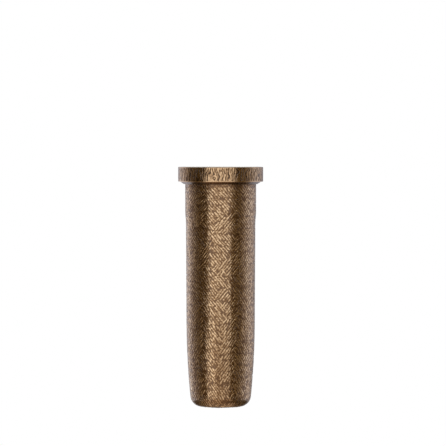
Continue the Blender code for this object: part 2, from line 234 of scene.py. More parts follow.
def turnedMesh(name, profile, steps, place, closed=False, relief=None):
    # Turn (radius, depth) points, which run down the outer side, about the axis of place.
    # relief gives the height mark that the bronze reads, from 0 in a recess to 1 on a high spot.
    work = bmesh.new()
    mark = work.verts.layers.float.new("relief")
    rows = []
    for index, (radius, depth) in enumerate(profile):
        row = []
        for step in range(1 if radius < nearly else steps):
            angle = turn * step / steps
            point = Vector((radius * math.sin(angle), -radius * math.cos(angle), -depth))
            vert = work.verts.new(place @ point)
            vert[mark] = relief[index] if relief else middleMark
            row.append(vert)
        rows.append(row)
    bridgeRows(work, list(zip(rows, rows[1:])) + ([(rows[-1], rows[0])] if closed else []), steps)
    return keptMesh(work, name)


def addObject(name, data):
    made = bpy.data.objects.new(name, data)
    bpy.context.scene.collection.objects.link(made)
    return made


def newPiece(name, mesh, finish, sharpAngle=35):
    mesh.materials.clear()
    mesh.materials.append(finish)
    mesh.shade_smooth()
    mesh.set_sharp_from_angle(angle=math.radians(sharpAngle))
    return addObject(name, mesh)


def standIn(piece, body, node):
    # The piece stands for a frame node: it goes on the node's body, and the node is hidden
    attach(piece, body)
    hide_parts(node)
    return piece


def applyModifiers(piece):
    # Keep what the piece's modifiers make as its plain mesh
    piece.update_tag()
    graph = bpy.context.evaluated_depsgraph_get()
    graph.update()
    made = bpy.data.meshes.new_from_object(
        piece.evaluated_get(graph), preserve_all_data_layers=True, depsgraph=graph)
    piece.modifiers.clear()
    piece.data = made


socketKinds = {
    int: "Int", float: "Float", tuple: "Vector", Vector: "Vector", bpy.types.Object: "Object",
    bpy.types.Material: "Material"}


def runTree(piece, name, build, values):
    # A Geometry Nodes tree with a named input for each value. It is built, run on the piece and
    # applied, with its inputs set by identifier before that.
    tree = bpy.data.node_groups.new(name, "GeometryNodeTree")
    tree.interface.new_socket("Geometry", in_out="INPUT", socket_type="NodeSocketGeometry")
    for label, value in values.items():
        kind = "NodeSocket" + socketKinds[type(value)]
        tree.interface.new_socket(label, in_out="INPUT", socket_type=kind)
    tree.interface.new_socket("Geometry", in_out="OUTPUT", socket_type="NodeSocketGeometry")
    add = partial(addNode, tree)
    given = add("NodeGroupInput").outputs
    whole = add("GeometryNodeRealizeInstances", [build(add, given)])
    dressed = add("GeometryNodeSetMaterial", {"Geometry": whole, "Material": given["Finish"]})
    add("NodeGroupOutput", [dressed])
    modifier = piece.modifiers.new(name, "NODES")
    modifier.node_group = tree
    for item in tree.interface.items_tree:
        if item.name in values:
            modifier[item.identifier] = values[item.name]
    applyModifiers(piece)


uprightPlace = Matrix.Translation((0, axisY, rimZ))

# The tube. Its outline is the frame's, but the hatched stretch is sunk so that the strokes'
# tops stand where the solid's skin is.
tube = {
    "shoulderRadius": 30.1 * mm, "shoulderDepth": 38 * mm, "stepLength": 9 * mm,
    "stepNarrowing": 0.65 * mm, "bodyNarrowing": 0.4 * mm, "footNarrowing": 3.25 * mm,
    "taperLength": 65 * mm, "footCorner": 9 * mm, "wall": 2.7 * mm, "floor": 3.5 * mm,
    "drainRadius": 3 * mm, "lipRadius": 32 * mm, "lipTop": 1.2 * mm, "lipUnderside": 3.2 * mm,
    "edge": 0.35 * mm, "plainEnd": 12 * mm, "hatchTop": 12.5 * mm, "sink": 0.25 * mm, "footPad": 15 * mm,
    "steps": 144, "plainRow": 4 * mm, "hatchedRow": 3 * mm, "insideRow": 8 * mm, "plainMark": 0.62,
    "insideMark": 0.35, "sharpAngle": 32, "edgePoints": 4, "footPoints": 14, "insidePoints": 8}


def tubeRadius(depth):
    bodyTop = tube["shoulderRadius"] - tube["stepNarrowing"]
    stepEnd = tube["shoulderDepth"] + tube["stepLength"]
    taperStart = footDepth - tube["footCorner"] - tube["taperLength"]
    if depth <= tube["shoulderDepth"]:
        return tube["shoulderRadius"]
    if depth < stepEnd:
        part = (depth - tube["shoulderDepth"]) / tube["stepLength"]
        return tube["shoulderRadius"] - tube["stepNarrowing"] * part * part * (3 - 2 * part)
    if depth < taperStart:
        return bodyTop - tube["bodyNarrowing"] * (depth - stepEnd) / (taperStart - stepEnd)
    taper = tube["footNarrowing"] * ((depth - taperStart) / tube["taperLength"]) ** 2
    return bodyTop - tube["bodyNarrowing"] - taper


footStart = footDepth - tube["footCorner"]
footRadius = tubeRadius(footStart)


def hatchedLine():
    # Outline of the sunk skin, from the top of the hatching round the foot's corner
    depths = spaced(tube["hatchTop"], footStart, tube["hatchedRow"])
    sunkCorner = tube["footCorner"] - tube["sink"]
    corner = arc(footRadius - tube["footCorner"], footStart, sunkCorner, 0, 90, tube["footPoints"])
    return [(tubeRadius(d) - tube["sink"], d) for d in depths] + corner[1:]


def tubeOutline():
    # The whole closed outline of the cast tube, with the height mark of each point
    edge = tube["edge"]
    plain = arc(tube["lipRadius"] - edge, tube["lipTop"] + edge, edge, -90, 0, tube["edgePoints"])
    plain += [(tube["lipRadius"], tube["lipUnderside"])]
    plainDepths = spaced(tube["lipUnderside"], tube["plainEnd"], tube["plainRow"])
    plain += [(tube["shoulderRadius"], d) for d in plainDepths]
    hatched = hatchedLine()
    pad = [(tube["footPad"], footDepth - tube["sink"]), (tube["footPad"] - edge, footDepth)]
    pad += [(tube["drainRadius"] + edge, footDepth), (tube["drainRadius"], footDepth - edge)]
    insideCorner = tube["footCorner"] - tube["wall"]
    floorDepth = footDepth - tube["floor"]
    cornerDepth = floorDepth - insideCorner
    cornerRadius = tubeRadius(cornerDepth) - tube["wall"]
    inside = [(tube["drainRadius"], floorDepth)]
    inside += arc(cornerRadius - insideCorner, cornerDepth, insideCorner, 90, 0, tube["insidePoints"])
    insideDepths = spaced(cornerDepth, tube["lipTop"] + edge, tube["insideRow"])[1:]
    inside += [(tubeRadius(d) - tube["wall"], d) for d in insideDepths]
    inside += [(tube["shoulderRadius"] - tube["wall"] + edge, tube["lipTop"])]
    marks = [tube["plainMark"]] * len(plain) + [0.0] * len(hatched)
    marks += [tube["plainMark"]] * len(pad) + [tube["insideMark"]] * len(inside)
    return plain + hatched + pad + inside, marks


# One stroke of the hatching, in its own units: 1 long, 1 wide, and 1 high above the sunk skin.
# Its section runs across it, and each band gives a place along it, and how wide and high the
# section is there.
strokeShape = {
    "bands": [(-0.4, 0.82, 0.946), (0.0, 1.0, 1.0), (0.4, 0.82, 0.946)], "end": 0.5, "endHeight": -0.1,
    "section": [
        (-0.5, -0.4), (-0.38, 0.25), (-0.26, 0.97), (0.0, 1.0), (0.26, 0.97), (0.38, 0.25), (0.5, -0.4)]}


def makeStroke():
    section, end, low = strokeShape["section"], strokeShape["end"], strokeShape["endHeight"]
    work = bmesh.new()
    rows = [[work.verts.new((x, y * width, z * height if z > 0 else z)) for y, z in section]
            for x, width, height in strokeShape["bands"]]
    rows = [[work.verts.new((-end, 0, low))]] + rows + [[work.verts.new((end, 0, low))]]
    bridgeRows(work, zip(rows, rows[1:]), len(section))
    bmesh.ops.recalc_face_normals(work, faces=work.faces)
    return addObject("stroke", keptMesh(work, "stroke"))


def makeLineGuide(name, line):
    # A curve down the front of the tube, through these radii and depths
    curve = bpy.data.curves.new(name, "CURVE")
    curve.dimensions = "3D"
    spline = curve.splines.new("POLY")
    spline.points.add(len(line) - 1)
    for point, (radius, depth) in zip(spline.points, line):
        point.co = (0, -radius, -depth, 1)
    return addObject(name, curve)


def skinSpot(add, given, around, lift):
    # A point round the tube to look noise up at, so that the noise has no seam
    sides = [add("ShaderNodeMath", [around], operation=wave) for wave in ("SINE", "COSINE")]
    spots = [add("ShaderNodeMath", [side, given["Radius"]], operation="MULTIPLY") for side in sides]
    return add("ShaderNodeCombineXYZ", [*spots, lift])


def leanSide(add, given, around, depth):
    # Which way strokes lean at a place on the tube: -1 is \ and 1 is /. Patches come from a soft
    # noise, and lower down they alternate round the tube in herringbone columns.
    seedLift = add("ShaderNodeMath", [given["Seed"], given["Seed Step"], depth], operation="MULTIPLY_ADD")
    patchScale = add("ShaderNodeMath", [1.0, given["Patch Size"]], operation="DIVIDE")
    patches = add("ShaderNodeTexNoise", {
        "Vector": skinSpot(add, given, around, seedLift), "Scale": patchScale, "Detail": 0.0})
    panelAngle = add("ShaderNodeMath", [
        around, given["Panels"], given["Panel Turn"]], operation="MULTIPLY_ADD")
    panel = add("ShaderNodeMath", [panelAngle], operation="SINE")
    strength = add("ShaderNodeMapRange", {
        "Value": depth, "From Min": given["Upper End"], "From Max": given["Lower Start"],
        "To Min": given["Upper Herringbone"], "To Max": given["Lower Herringbone"]},
        interpolation_type="SMOOTHSTEP")
    choice = add("ShaderNodeMath", [panel, strength, patches], operation="MULTIPLY_ADD")
    rightward = add("ShaderNodeMath", [choice, given["Left Share"]], operation="GREATER_THAN")
    return add("ShaderNodeMath", [rightward, 2.0, -1.0], operation="MULTIPLY_ADD")


def hatchedStrokes(add, given):
    # A lattice of slanted strokes, laid out flat and then wrapped on the tube's outline
    count = add("ShaderNodeMath", [given["Columns"], given["Rows"]], operation="MULTIPLY")
    index = add("GeometryNodeInputIndex")
    column = add("ShaderNodeMath", [index, given["Columns"]], operation="MODULO")
    rowPart = add("ShaderNodeMath", [index, given["Columns"]], operation="DIVIDE")
    row = add("ShaderNodeMath", [rowPart], operation="FLOOR")
    shift = add("ShaderNodeMath", [row, 0.5, column], operation="MULTIPLY_ADD")
    place = add("ShaderNodeMath", [shift, given["Columns"]], operation="DIVIDE")
    angle = add("ShaderNodeMath", [place, turn], operation="MULTIPLY")
    rowDepth = add("ShaderNodeMath", [row, given["Row Height"], given["First Row"]], operation="MULTIPLY_ADD")
    driftNoise = add("ShaderNodeTexNoise", {
        "Vector": skinSpot(add, given, angle, rowDepth), "Scale": given["Drift Scale"], "Detail": 1.0})
    driftBy = add("ShaderNodeMapRange", {
        "Value": driftNoise, "From Min": given["Drift Low"], "From Max": given["Drift High"], "To Min": -1.0})
    depth = add("ShaderNodeMath", [driftBy, given["Drift"], rowDepth], operation="MULTIPLY_ADD")
    across = add("ShaderNodeMath", [angle, given["Radius"]], operation="MULTIPLY")
    upwards = add("ShaderNodeMath", [depth, -1.0], operation="MULTIPLY")
    laid = add("ShaderNodeCombineXYZ", {"X": across, "Y": upwards})

    # Each stroke's lean and length
    side = leanSide(add, given, angle, depth)
    lowDown = add("ShaderNodeMapRange", {
        "Value": depth, "From Min": given["Upper End"], "From Max": given["Lower Start"]})
    steepness = add("ShaderNodeMix", {0: lowDown, 2: given["Lean"], 3: given["Low Lean"]})
    shortening = add("ShaderNodeMix", {0: lowDown, 2: 1.0, 3: given["Low Shortening"]})
    length = add("ShaderNodeMath", [given["Length"], shortening], operation="MULTIPLY")
    leanBy = add("ShaderNodeMath", [side, steepness], operation="MULTIPLY")
    sway = add("FunctionNodeRandomValue", {2: -1.0, 3: 1.0, "ID": index, "Seed": 5}).outputs[1]
    leans = add("ShaderNodeMath", [sway, given["Lean Jitter"], leanBy], operation="MULTIPLY_ADD")
    ownX, ownY = [add("ShaderNodeMath", [leans], operation=wave) for wave in ("COSINE", "SINE")]
    ownWay = add("ShaderNodeCombineXYZ", {"X": ownX, "Y": ownY})

    # A half whose end would cross into a patch that leans the other way is made shorter
    reach = add("ShaderNodeMath", [length, given["End Share"]], operation="MULTIPLY")
    reachX, reachY = [add("ShaderNodeMath", [part, reach], operation="MULTIPLY") for part in (ownX, ownY)]
    reachAround = add("ShaderNodeMath", [reachX, given["Radius"]], operation="DIVIDE")
    halves = []
    for turning, rising in (("ADD", "SUBTRACT"), ("SUBTRACT", "ADD")):
        endAround = add("ShaderNodeMath", [angle, reachAround], operation=turning)
        endDepth = add("ShaderNodeMath", [depth, reachY], operation=rising)
        endSide = leanSide(add, given, endAround, endDepth)
        agree = add("ShaderNodeMath", [endSide, side], operation="MULTIPLY")
        halves.append(add("ShaderNodeMapRange", {
            "Value": agree, "From Min": -1.0, "To Min": given["Short Half"]}))
    kept = add("ShaderNodeMath", halves, operation="ADD")
    uneven = add("ShaderNodeMath", halves, operation="SUBTRACT")
    halfLength = add("ShaderNodeMath", [length, 0.5], operation="MULTIPLY")
    ownLength = add("ShaderNodeMath", [halfLength, kept], operation="MULTIPLY")
    middle = add("ShaderNodeMath", [halfLength, uneven], operation="MULTIPLY")

    # A stroke slides along its own line, so that the lattice doesn't show
    slides = add("FunctionNodeRandomValue", {2: -1.0, 3: 1.0, "ID": index, "Seed": 3}).outputs[1]
    slideBy = add("ShaderNodeMath", [slides, given["Slide"]], operation="MULTIPLY")
    slideAll = add("ShaderNodeMath", [middle, 0.5, slideBy], operation="MULTIPLY_ADD")
    settled = add("ShaderNodeVectorMath", [ownWay, slideAll, laid], operation="MULTIPLY_ADD")
    points = add("GeometryNodePoints", {"Count": count, "Position": settled})
    tilts = add("FunctionNodeRandomValue", {
        0: (-1, -1, 0), 1: (1, 1, 0), "ID": index, "Seed": 12}, data_type="FLOAT_VECTOR")
    turned = add("ShaderNodeCombineXYZ", {"Z": leans})
    rotation = add("ShaderNodeVectorMath", [tilts, given["Tilt"], turned], operation="MULTIPLY_ADD")
    sizes = add("FunctionNodeRandomValue", {
        0: given["Least Size"], 1: given["Most Size"], "ID": index, "Seed": 9}, data_type="FLOAT_VECTOR")
    spread = add("ShaderNodeMath", [ownY], operation="ABSOLUTE")
    ownWidth = add("ShaderNodeMath", [given["Width"], spread], operation="MULTIPLY")
    fullSize = add("ShaderNodeCombineXYZ", [ownLength, ownWidth, given["Height"]])
    scale = add("ShaderNodeVectorMath", [fullSize, sizes], operation="MULTIPLY")
    stroke = add("GeometryNodeObjectInfo", [given["Stroke"]])
    instances = add("GeometryNodeInstanceOnPoints", {
        "Points": points, "Instance": stroke.outputs["Geometry"], "Rotation": rotation, "Scale": scale})
    rubs = add("FunctionNodeRandomValue", {2: given["Least Rub"], 3: 1.0, "Seed": 21}).outputs[1]
    toned = add("GeometryNodeStoreNamedAttribute", {
        "Geometry": instances, "Name": "rub", "Value": rubs}, domain="INSTANCE")
    real = add("GeometryNodeRealizeInstances", [toned])

    # The height mark. Over the top few millimetres of the hatching it is lowered towards the dark recess
    # tone: painted shade under the ring.
    flatPlace = add("ShaderNodeSeparateXYZ", [add("GeometryNodeInputPosition")])
    over = flatPlace.outputs["Z"]
    rise = add("ShaderNodeMath", [over, given["Height"]], operation="DIVIDE", use_clamp=True)
    along = add("ShaderNodeMath", [flatPlace.outputs["Y"], -1.0], operation="MULTIPLY")
    paintedShadeShare = add("ShaderNodeMapRange", {
        "Value": along, "From Min": given["Painted Shade From"], "From Max": given["Painted Shade To"],
        "To Min": given["Painted Shade Floor"]})
    rub = add("GeometryNodeInputNamedAttribute", {"Name": "rub"})
    rubShare = add("ShaderNodeMath", [paintedShadeShare, rub], operation="MULTIPLY")
    mark = add("ShaderNodeMath", [rise, rubShare], operation="MULTIPLY")
    marked = add("GeometryNodeStoreNamedAttribute", {"Geometry": real, "Name": "relief", "Value": mark})

    # The wrap: a point takes its place at the tube's front, and is then turned round the axis
    outline = add("GeometryNodeObjectInfo", [given["Outline"]])
    skin = add("GeometryNodeSampleCurve", {
        "Curves": outline.outputs["Geometry"], "Length": along}, mode="LENGTH")
    skinOut = add("ShaderNodeVectorMath", [skin.outputs["Tangent"], (1, 0, 0)], operation="CROSS_PRODUCT")
    atFront = add("ShaderNodeVectorMath", [skinOut, over, skin.outputs["Position"]], operation="MULTIPLY_ADD")
    around = add("ShaderNodeMath", [flatPlace.outputs["X"], given["Radius"]], operation="DIVIDE")
    wrapped, outward = [
        add("ShaderNodeVectorRotate", {"Vector": vector, "Angle": around}, rotation_type="Z_AXIS")
        for vector in (atFront, skinOut)]
    inPlace = add("ShaderNodeVectorMath", [wrapped, given["Axis"]], operation="ADD")
    levelBy = add("ShaderNodeVectorMath", {0: outward, "Scale": given["Levelling"]}, operation="SCALE")
    levelled = add("GeometryNodeStoreNamedAttribute", {
        "Geometry": marked, "Name": "level", "Value": levelBy}, data_type="FLOAT_VECTOR")
    moved = add("GeometryNodeSetPosition", {"Geometry": levelled, "Position": inPlace})
    soft = add("GeometryNodeSetShadeSmooth", {"Geometry": moved})
    both = add("GeometryNodeJoinGeometry", [soft])
    feed(both, [given["Geometry"]])
    return both


hatching = {
    "Columns": 70, "Rows": 39, "First Row": 1.4 * mm, "Row Height": 5.0 * mm, "Radius": 29.2 * mm,
    "Length": 7.9 * mm, "Low Shortening": 0.9, "Width": 2.58 * mm, "Height": 0.25 * mm,
    "Least Size": (0.85, 0.86, 0.75), "Most Size": (1.15, 1.06, 1.0), "Lean": math.radians(48),
    "Low Lean": math.radians(54), "Lean Jitter": math.radians(5.5), "Slide": 1.6 * mm, "Short Half": 0.86,
    "End Share": 0.36, "Patch Size": 17 * mm, "Left Share": 0.59, "Upper Herringbone": 0.0312,
    "Lower Herringbone": 0.26, "Panels": 6.0, "Panel Turn": math.radians(12), "Upper End": 72 * mm,
    "Lower Start": 127 * mm, "Tilt": math.radians(0.9), "Drift": 0.9 * mm, "Drift Scale": 1 / (11 * mm),
    # The darkening of the strokes just under the ring, from 2.6 mm to 6.4 mm down the hatching and down to
    # 0.15 of their mark, is painted shade.
    "Drift Low": 0.25, "Drift High": 0.75, "Least Rub": 0.68, "Painted Shade Floor": 0.15,
    "Painted Shade From": 2.6 * mm, "Painted Shade To": 6.4 * mm, "Levelling": 1.9, "Seed": 4, "Seed Step": 0.37}


def makeTube():
    profile, relief = tubeOutline()
    mesh = turnedMesh("castTube", profile, tube["steps"], uprightPlace, True, relief)
    piece = newPiece("castTube", mesh, tubeBronze)
    outline = makeLineGuide("hatched outline", hatchedLine())
    stroke = makeStroke()
    runTree(piece, "hatched strokes", hatchedStrokes, {
        **hatching, "Outline": outline, "Stroke": stroke, "Axis": (0, axisY, rimZ), "Finish": tubeBronze})
    bpy.data.objects.remove(outline)
    bpy.data.objects.remove(stroke)
    piece.data.set_sharp_from_angle(angle=math.radians(tube["sharpAngle"]))
    return standIn(piece, "vase", "vase_body")


castTube = makeTube()
print("tube cast:", len(castTube.data.polygons), "faces")

# The ring. The band below is its grained outer skin. The rest of the bracket keeps the frame's
# own shape, drawn in a little under the band.
ring = {
    "radius": 36.0 * mm, "height": 12.4 * mm, "edge": 0.5 * mm, "cadEdge": 0.9 * mm, "bandBack": 34.5 * mm,
    "drawnIn": 0.45 * mm, "cover": 0.02 * mm, "rowHeight": 0.3 * mm, "steps": 1080, "sharpAngle": 60,
    "lockAngle": math.radians(52), "lockDepth": 8.35 * mm, "lockRadius": 2.3 * mm, "drillOver": 2 * mm,
    "drillSteps": 48, "coveEnd": 15 * mm, "slack": 0.05 * mm, "weld": 0.001 * mm, "plane": 0.99999,
    "plateDepth": 7 * mm, "knotAngle": math.radians(-8.5), "knotDepth": 9.2 * mm, "edgePoints": 6}
# A ridge is half a turn of the grain's wave, and wander and fray shift it by radians of that
# wave. A relief under zero is pressed inwards.
grain = {
    "Ridges": 84 / 2, "Relief": -0.22 * mm, "Wander": 3.0 * math.pi, "Wander Scale": 1 / (6 * mm),
    "Stretch": (1, 1, 0.6), "Fray": 1.1 * math.pi, "Fray Scale": 1 / (2.4 * mm), "Groove Floor": 0.1,
    "Groove Edge": 0.68, "Threads": 0.22, "Thread Scale": 1 / (0.9 * mm), "Thread Low": 0.4,
    "Thread High": 0.6, "Thread Stretch": (1, 1, 0.18), "Patina Climb": 2.2, "Levelling": 1.2,
    "Grain Start": 0.32 * mm, "Polished Edge": 0.8 * mm, "Knot Core": 2.16 * mm, "Knot Size": 3.6 * mm,
    "Knot Waves": math.pi / (2 * mm), "Skin From": 35.98 * mm}


def barkGrain(add, given):
    # Upright ridges that wander, merge and bend round knots, pressed into the band's outer face
    position = add("GeometryNodeInputPosition")
    local = add("ShaderNodeVectorMath", [position, given["Axis"]], operation="SUBTRACT")
    parts = add("ShaderNodeSeparateXYZ", [local])
    front = add("ShaderNodeMath", [parts.outputs["Y"], -1.0], operation="MULTIPLY")
    angle = add("ShaderNodeMath", [parts.outputs["X"], front], operation="ARCTAN2")
    outward = add("ShaderNodeVectorMath", [local, (1, 1, 0)], operation="MULTIPLY")
    distance = add("ShaderNodeVectorMath", [outward], operation="LENGTH").outputs["Value"]
    outwardWay = add("ShaderNodeVectorMath", [outward], operation="NORMALIZE")

    # Wandering ridges, and rings round the knot
    drawn = add("ShaderNodeVectorMath", [local, given["Stretch"]], operation="MULTIPLY")
    wave = add("ShaderNodeMath", [angle, given["Ridges"]], operation="MULTIPLY")
    for shift in ("Wander", "Fray"):
        noise = add("ShaderNodeTexNoise", {"Vector": drawn, "Scale": given[shift + " Scale"], "Detail": 1.0})
        wave = add("ShaderNodeMath", [noise, given[shift], wave], operation="MULTIPLY_ADD")
    knotGap = add("ShaderNodeVectorMath", [position, given["Knot"]], operation="DISTANCE").outputs["Value"]
    knotWave = add("ShaderNodeMath", [knotGap, given["Knot Waves"]], operation="MULTIPLY")
    swings = [add("ShaderNodeMath", [angles], operation="COSINE") for angles in (wave, knotWave)]
    ridgeSide, knotSide = [add("ShaderNodeMath", [swing], operation="ABSOLUTE") for swing in swings]
    knotShare = add("ShaderNodeMapRange", {
        "Value": knotGap, "From Min": given["Knot Core"], "From Max": given["Knot Size"], "To Min": 1.0,
        "To Max": 0.0}, interpolation_type="SMOOTHSTEP")
    figure = add("ShaderNodeMix", {0: knotShare, 2: ridgeSide, 3: knotSide})
    groove = add("ShaderNodeMapRange", {
        "Value": figure, "From Min": given["Groove Floor"], "From Max": given["Groove Edge"],
        "To Min": 1.0, "To Max": 0.0}, interpolation_type="SMOOTHSTEP")

    # Fine threads on the ridges
    threadPlace = add("ShaderNodeVectorMath", [local, given["Thread Stretch"]], operation="MULTIPLY")
    threadNoise = add("ShaderNodeTexNoise", {
        "Vector": threadPlace, "Scale": given["Thread Scale"], "Detail": 1.0})
    thread = add("ShaderNodeMapRange", {
        "Value": threadNoise, "From Min": given["Thread Low"], "From Max": given["Thread High"],
        "To Max": given["Threads"]}, interpolation_type="SMOOTHSTEP")

    # The grain lies on the outer face alone, and ends at the polished edges
    belowTop = add("ShaderNodeMath", [given["Top"], parts.outputs["Z"]], operation="SUBTRACT")
    overBottom = add("ShaderNodeMath", [parts.outputs["Z"], given["Bottom"]], operation="SUBTRACT")
    nearEdge = add("ShaderNodeMath", [belowTop, overBottom], operation="MINIMUM")
    pressed = add("ShaderNodeMapRange", {
        "Value": nearEdge, "From Min": given["Grain Start"], "From Max": given["Polished Edge"]},
        interpolation_type="SMOOTHSTEP")
    outerFace = add("ShaderNodeMath", [distance, given["Skin From"]], operation="GREATER_THAN")
    grained = add("ShaderNodeMath", [outerFace, pressed], operation="MULTIPLY")
    hollow = add("ShaderNodeMath", [groove, thread], operation="MAXIMUM")
    cut = add("ShaderNodeMath", [hollow, grained], operation="MULTIPLY")
    height = add("ShaderNodeMath", [1.0, cut], operation="SUBTRACT")
    mark = add("ShaderNodeMath", [height, given["Patina Climb"]], operation="POWER")
    marked = add("GeometryNodeStoreNamedAttribute", {
        "Geometry": given["Geometry"], "Name": "relief", "Value": mark})
    levelShare = add("ShaderNodeMath", [grained, given["Levelling"]], operation="MULTIPLY")
    cutIn = add("ShaderNodeMath", [cut, given["Relief"]], operation="MULTIPLY")
    levelBy, offset = [add("ShaderNodeVectorMath", {0: outwardWay, "Scale": size}, operation="SCALE")
                       for size in (levelShare, cutIn)]
    levelled = add("GeometryNodeStoreNamedAttribute", {
        "Geometry": marked, "Name": "level", "Value": levelBy}, data_type="FLOAT_VECTOR")
    return add("GeometryNodeSetPosition", {"Geometry": levelled, "Offset": offset})


def lockPlace():
    # The lock screw's own frame: its top looks out of the ring and its depth runs to the tube
    sideways = Matrix.Rotation(ring["lockAngle"], 4, "Z") @ Matrix.Rotation(math.radians(-90), 4, "X")
    return Matrix.Translation((0, axisY, rimZ - ring["lockDepth"])) @ sideways


def bandOutline():
    # It starts and ends a cover's thickness inside the ring's planes
    edge, back, cover, points = ring["edge"], ring["bandBack"], ring["cover"], ring["edgePoints"]
    corner = ring["radius"] - edge
    lowEdge = ring["height"] - edge
    outline = [(back, cover)] + arc(corner, edge, edge, -90, 0, points)
    outline += [(ring["radius"], d) for d in spaced(edge, lowEdge, ring["rowHeight"])[1:-1]]
    return outline + arc(corner, lowEdge, edge, 0, 90, points) + [(back, ring["height"] - cover)]


def makeBand():
    # The ring's grained outer skin, drilled for the lock screw
    mesh = turnedMesh("band", bandOutline(), ring["steps"], uprightPlace, True)
    band = newPiece("band", mesh, ringBronze, ring["sharpAngle"])
    knot = uprightPlace @ Vector((
        ring["radius"] * math.sin(ring["knotAngle"]), -ring["radius"] * math.cos(ring["knotAngle"]),
        -ring["knotDepth"]))
    runTree(band, "bark grain", barkGrain, {
        **grain, "Top": -ring["edge"] / 2, "Bottom": ring["edge"] / 2 - ring["height"], "Knot": knot,
        "Axis": (0, axisY, rimZ), "Finish": ringBronze})
    start, end = -ring["radius"] - ring["drillOver"], -ring["bandBack"] + ring["drillOver"]
    drillLine = [(0, start), (ring["lockRadius"], start), (ring["lockRadius"], end), (0, end)]
    drill = newPiece("drill", turnedMesh("drill", drillLine, ring["drillSteps"], lockPlace()), ringBronze)
    cut = band.modifiers.new("lock screw hole", "BOOLEAN")
    cut.operation = "DIFFERENCE"
    cut.solver = "EXACT"
    cut.object = drill
    applyModifiers(band)
    bpy.data.objects.remove(drill)
    return band


def makeBracket():
    band = makeBand()
    work = bmesh.new()
    work.from_mesh(frame["nodes"]["ring_bracket"].data)
    bmesh.ops.remove_doubles(work, verts=work.verts, dist=ring["weld"])
    layer = work.verts.layers.float.new("relief")
    radius, height, slack = ring["radius"], ring["height"], ring["slack"]
    for vert in work.verts:
        depth = rimZ - vert.co.z
        away = Vector((vert.co.x, vert.co.y - axisY))
        # The cove under the ring gets mark 0, the darkest recess tone: painted shade under the ring.
        inCove = height - slack < depth < ring["coveEnd"] and away.length < radius
        vert[layer] = 0 if inCove else middleMark
        onRing = -slack < depth < height + slack
        if onRing and radius - ring["cadEdge"] - slack < away.length < radius + slack:
            away *= 1 - ring["drawnIn"] / away.length
            vert.co.x, vert.co.y = away.x, away.y + axisY
    piece = newPiece("ringBracket", keptMesh(work, "ringBracket"), ringBronze)
    # The plate's and the ring's plane faces are shaded as planes, not towards their rounded edges
    for face in piece.data.polygons:
        x, y, z = [abs(part) > ring["plane"] for part in face.normal]
        if z or (x or y) and face.center.y > -ring["plateDepth"]:
            face.use_smooth = False
    joined = {"active_object": piece, "object": piece, "selected_editable_objects": [piece, band]}
    with bpy.context.temp_override(**joined):
        bpy.ops.object.join()
    return standIn(piece, "bracket", "ring_bracket")


ringBracket = makeBracket()
print("ring bracket cast:", len(ringBracket.data.polygons), "faces")

# Screws and plugs. Those in the wall take their places from the frame's nodes.
wallScrew = {
    "headRadius": 4.2 * mm, "headHeight": 2.3 * mm, "radius": 2.2 * mm, "length": 32 * mm, "point": 4 * mm,
    "top": 0, "socket": 1.5 * mm, "socketDepth": 1.8 * mm, "socketPoint": 0.4 * mm, "chamfer": 0.1 * mm,
    "socketChamfer": 0.12 * mm, "threadFrom": 5.5 * mm, "threadTo": 31 * mm, "pitch": 1.5 * mm,
    "threadDepth": 0.42 * mm, "skinFrom": 1.6 * mm, "shankStep": 0.16 * mm, "pointStep": 0.3 * mm}
lockScrew = {
    "radius": 2.0 * mm, "top": -35.5 * mm, "tip": -30.4 * mm, "point": 0.6 * mm, "socket": 1.2 * mm,
    "socketDepth": 2.4 * mm, "socketPoint": 0.3 * mm, "chamfer": 0.1 * mm, "shoulder": 0.25 * mm,
    "threadFrom": -35.5 * mm, "threadTo": -30.7 * mm, "pitch": 0.7 * mm, "threadDepth": 0.24 * mm,
    "skinFrom": 1.6 * mm, "shankStep": 0.08 * mm}
wallPlug = {
    "bore": 2.5 * mm, "outer": 4.0 * mm, "collar": 4.6 * mm, "collarDepth": 0.6 * mm, "length": 30 * mm,
    "barbFrom": 6 * mm, "barbPitch": 2.4 * mm, "barbDepth": 0.45 * mm, "plainEnd": 1.5 * mm,
    "nose": 3.4 * mm, "step": 0.3 * mm, "splitWidth": 0.9 * mm, "splitFrom": 9 * mm,
    "splitFloor": 2.65 * mm, "steps": 64}
screwSteps = 36
flank = (0.06, 0.44)  # where a thread's flank starts and ends, in pitches from its crest


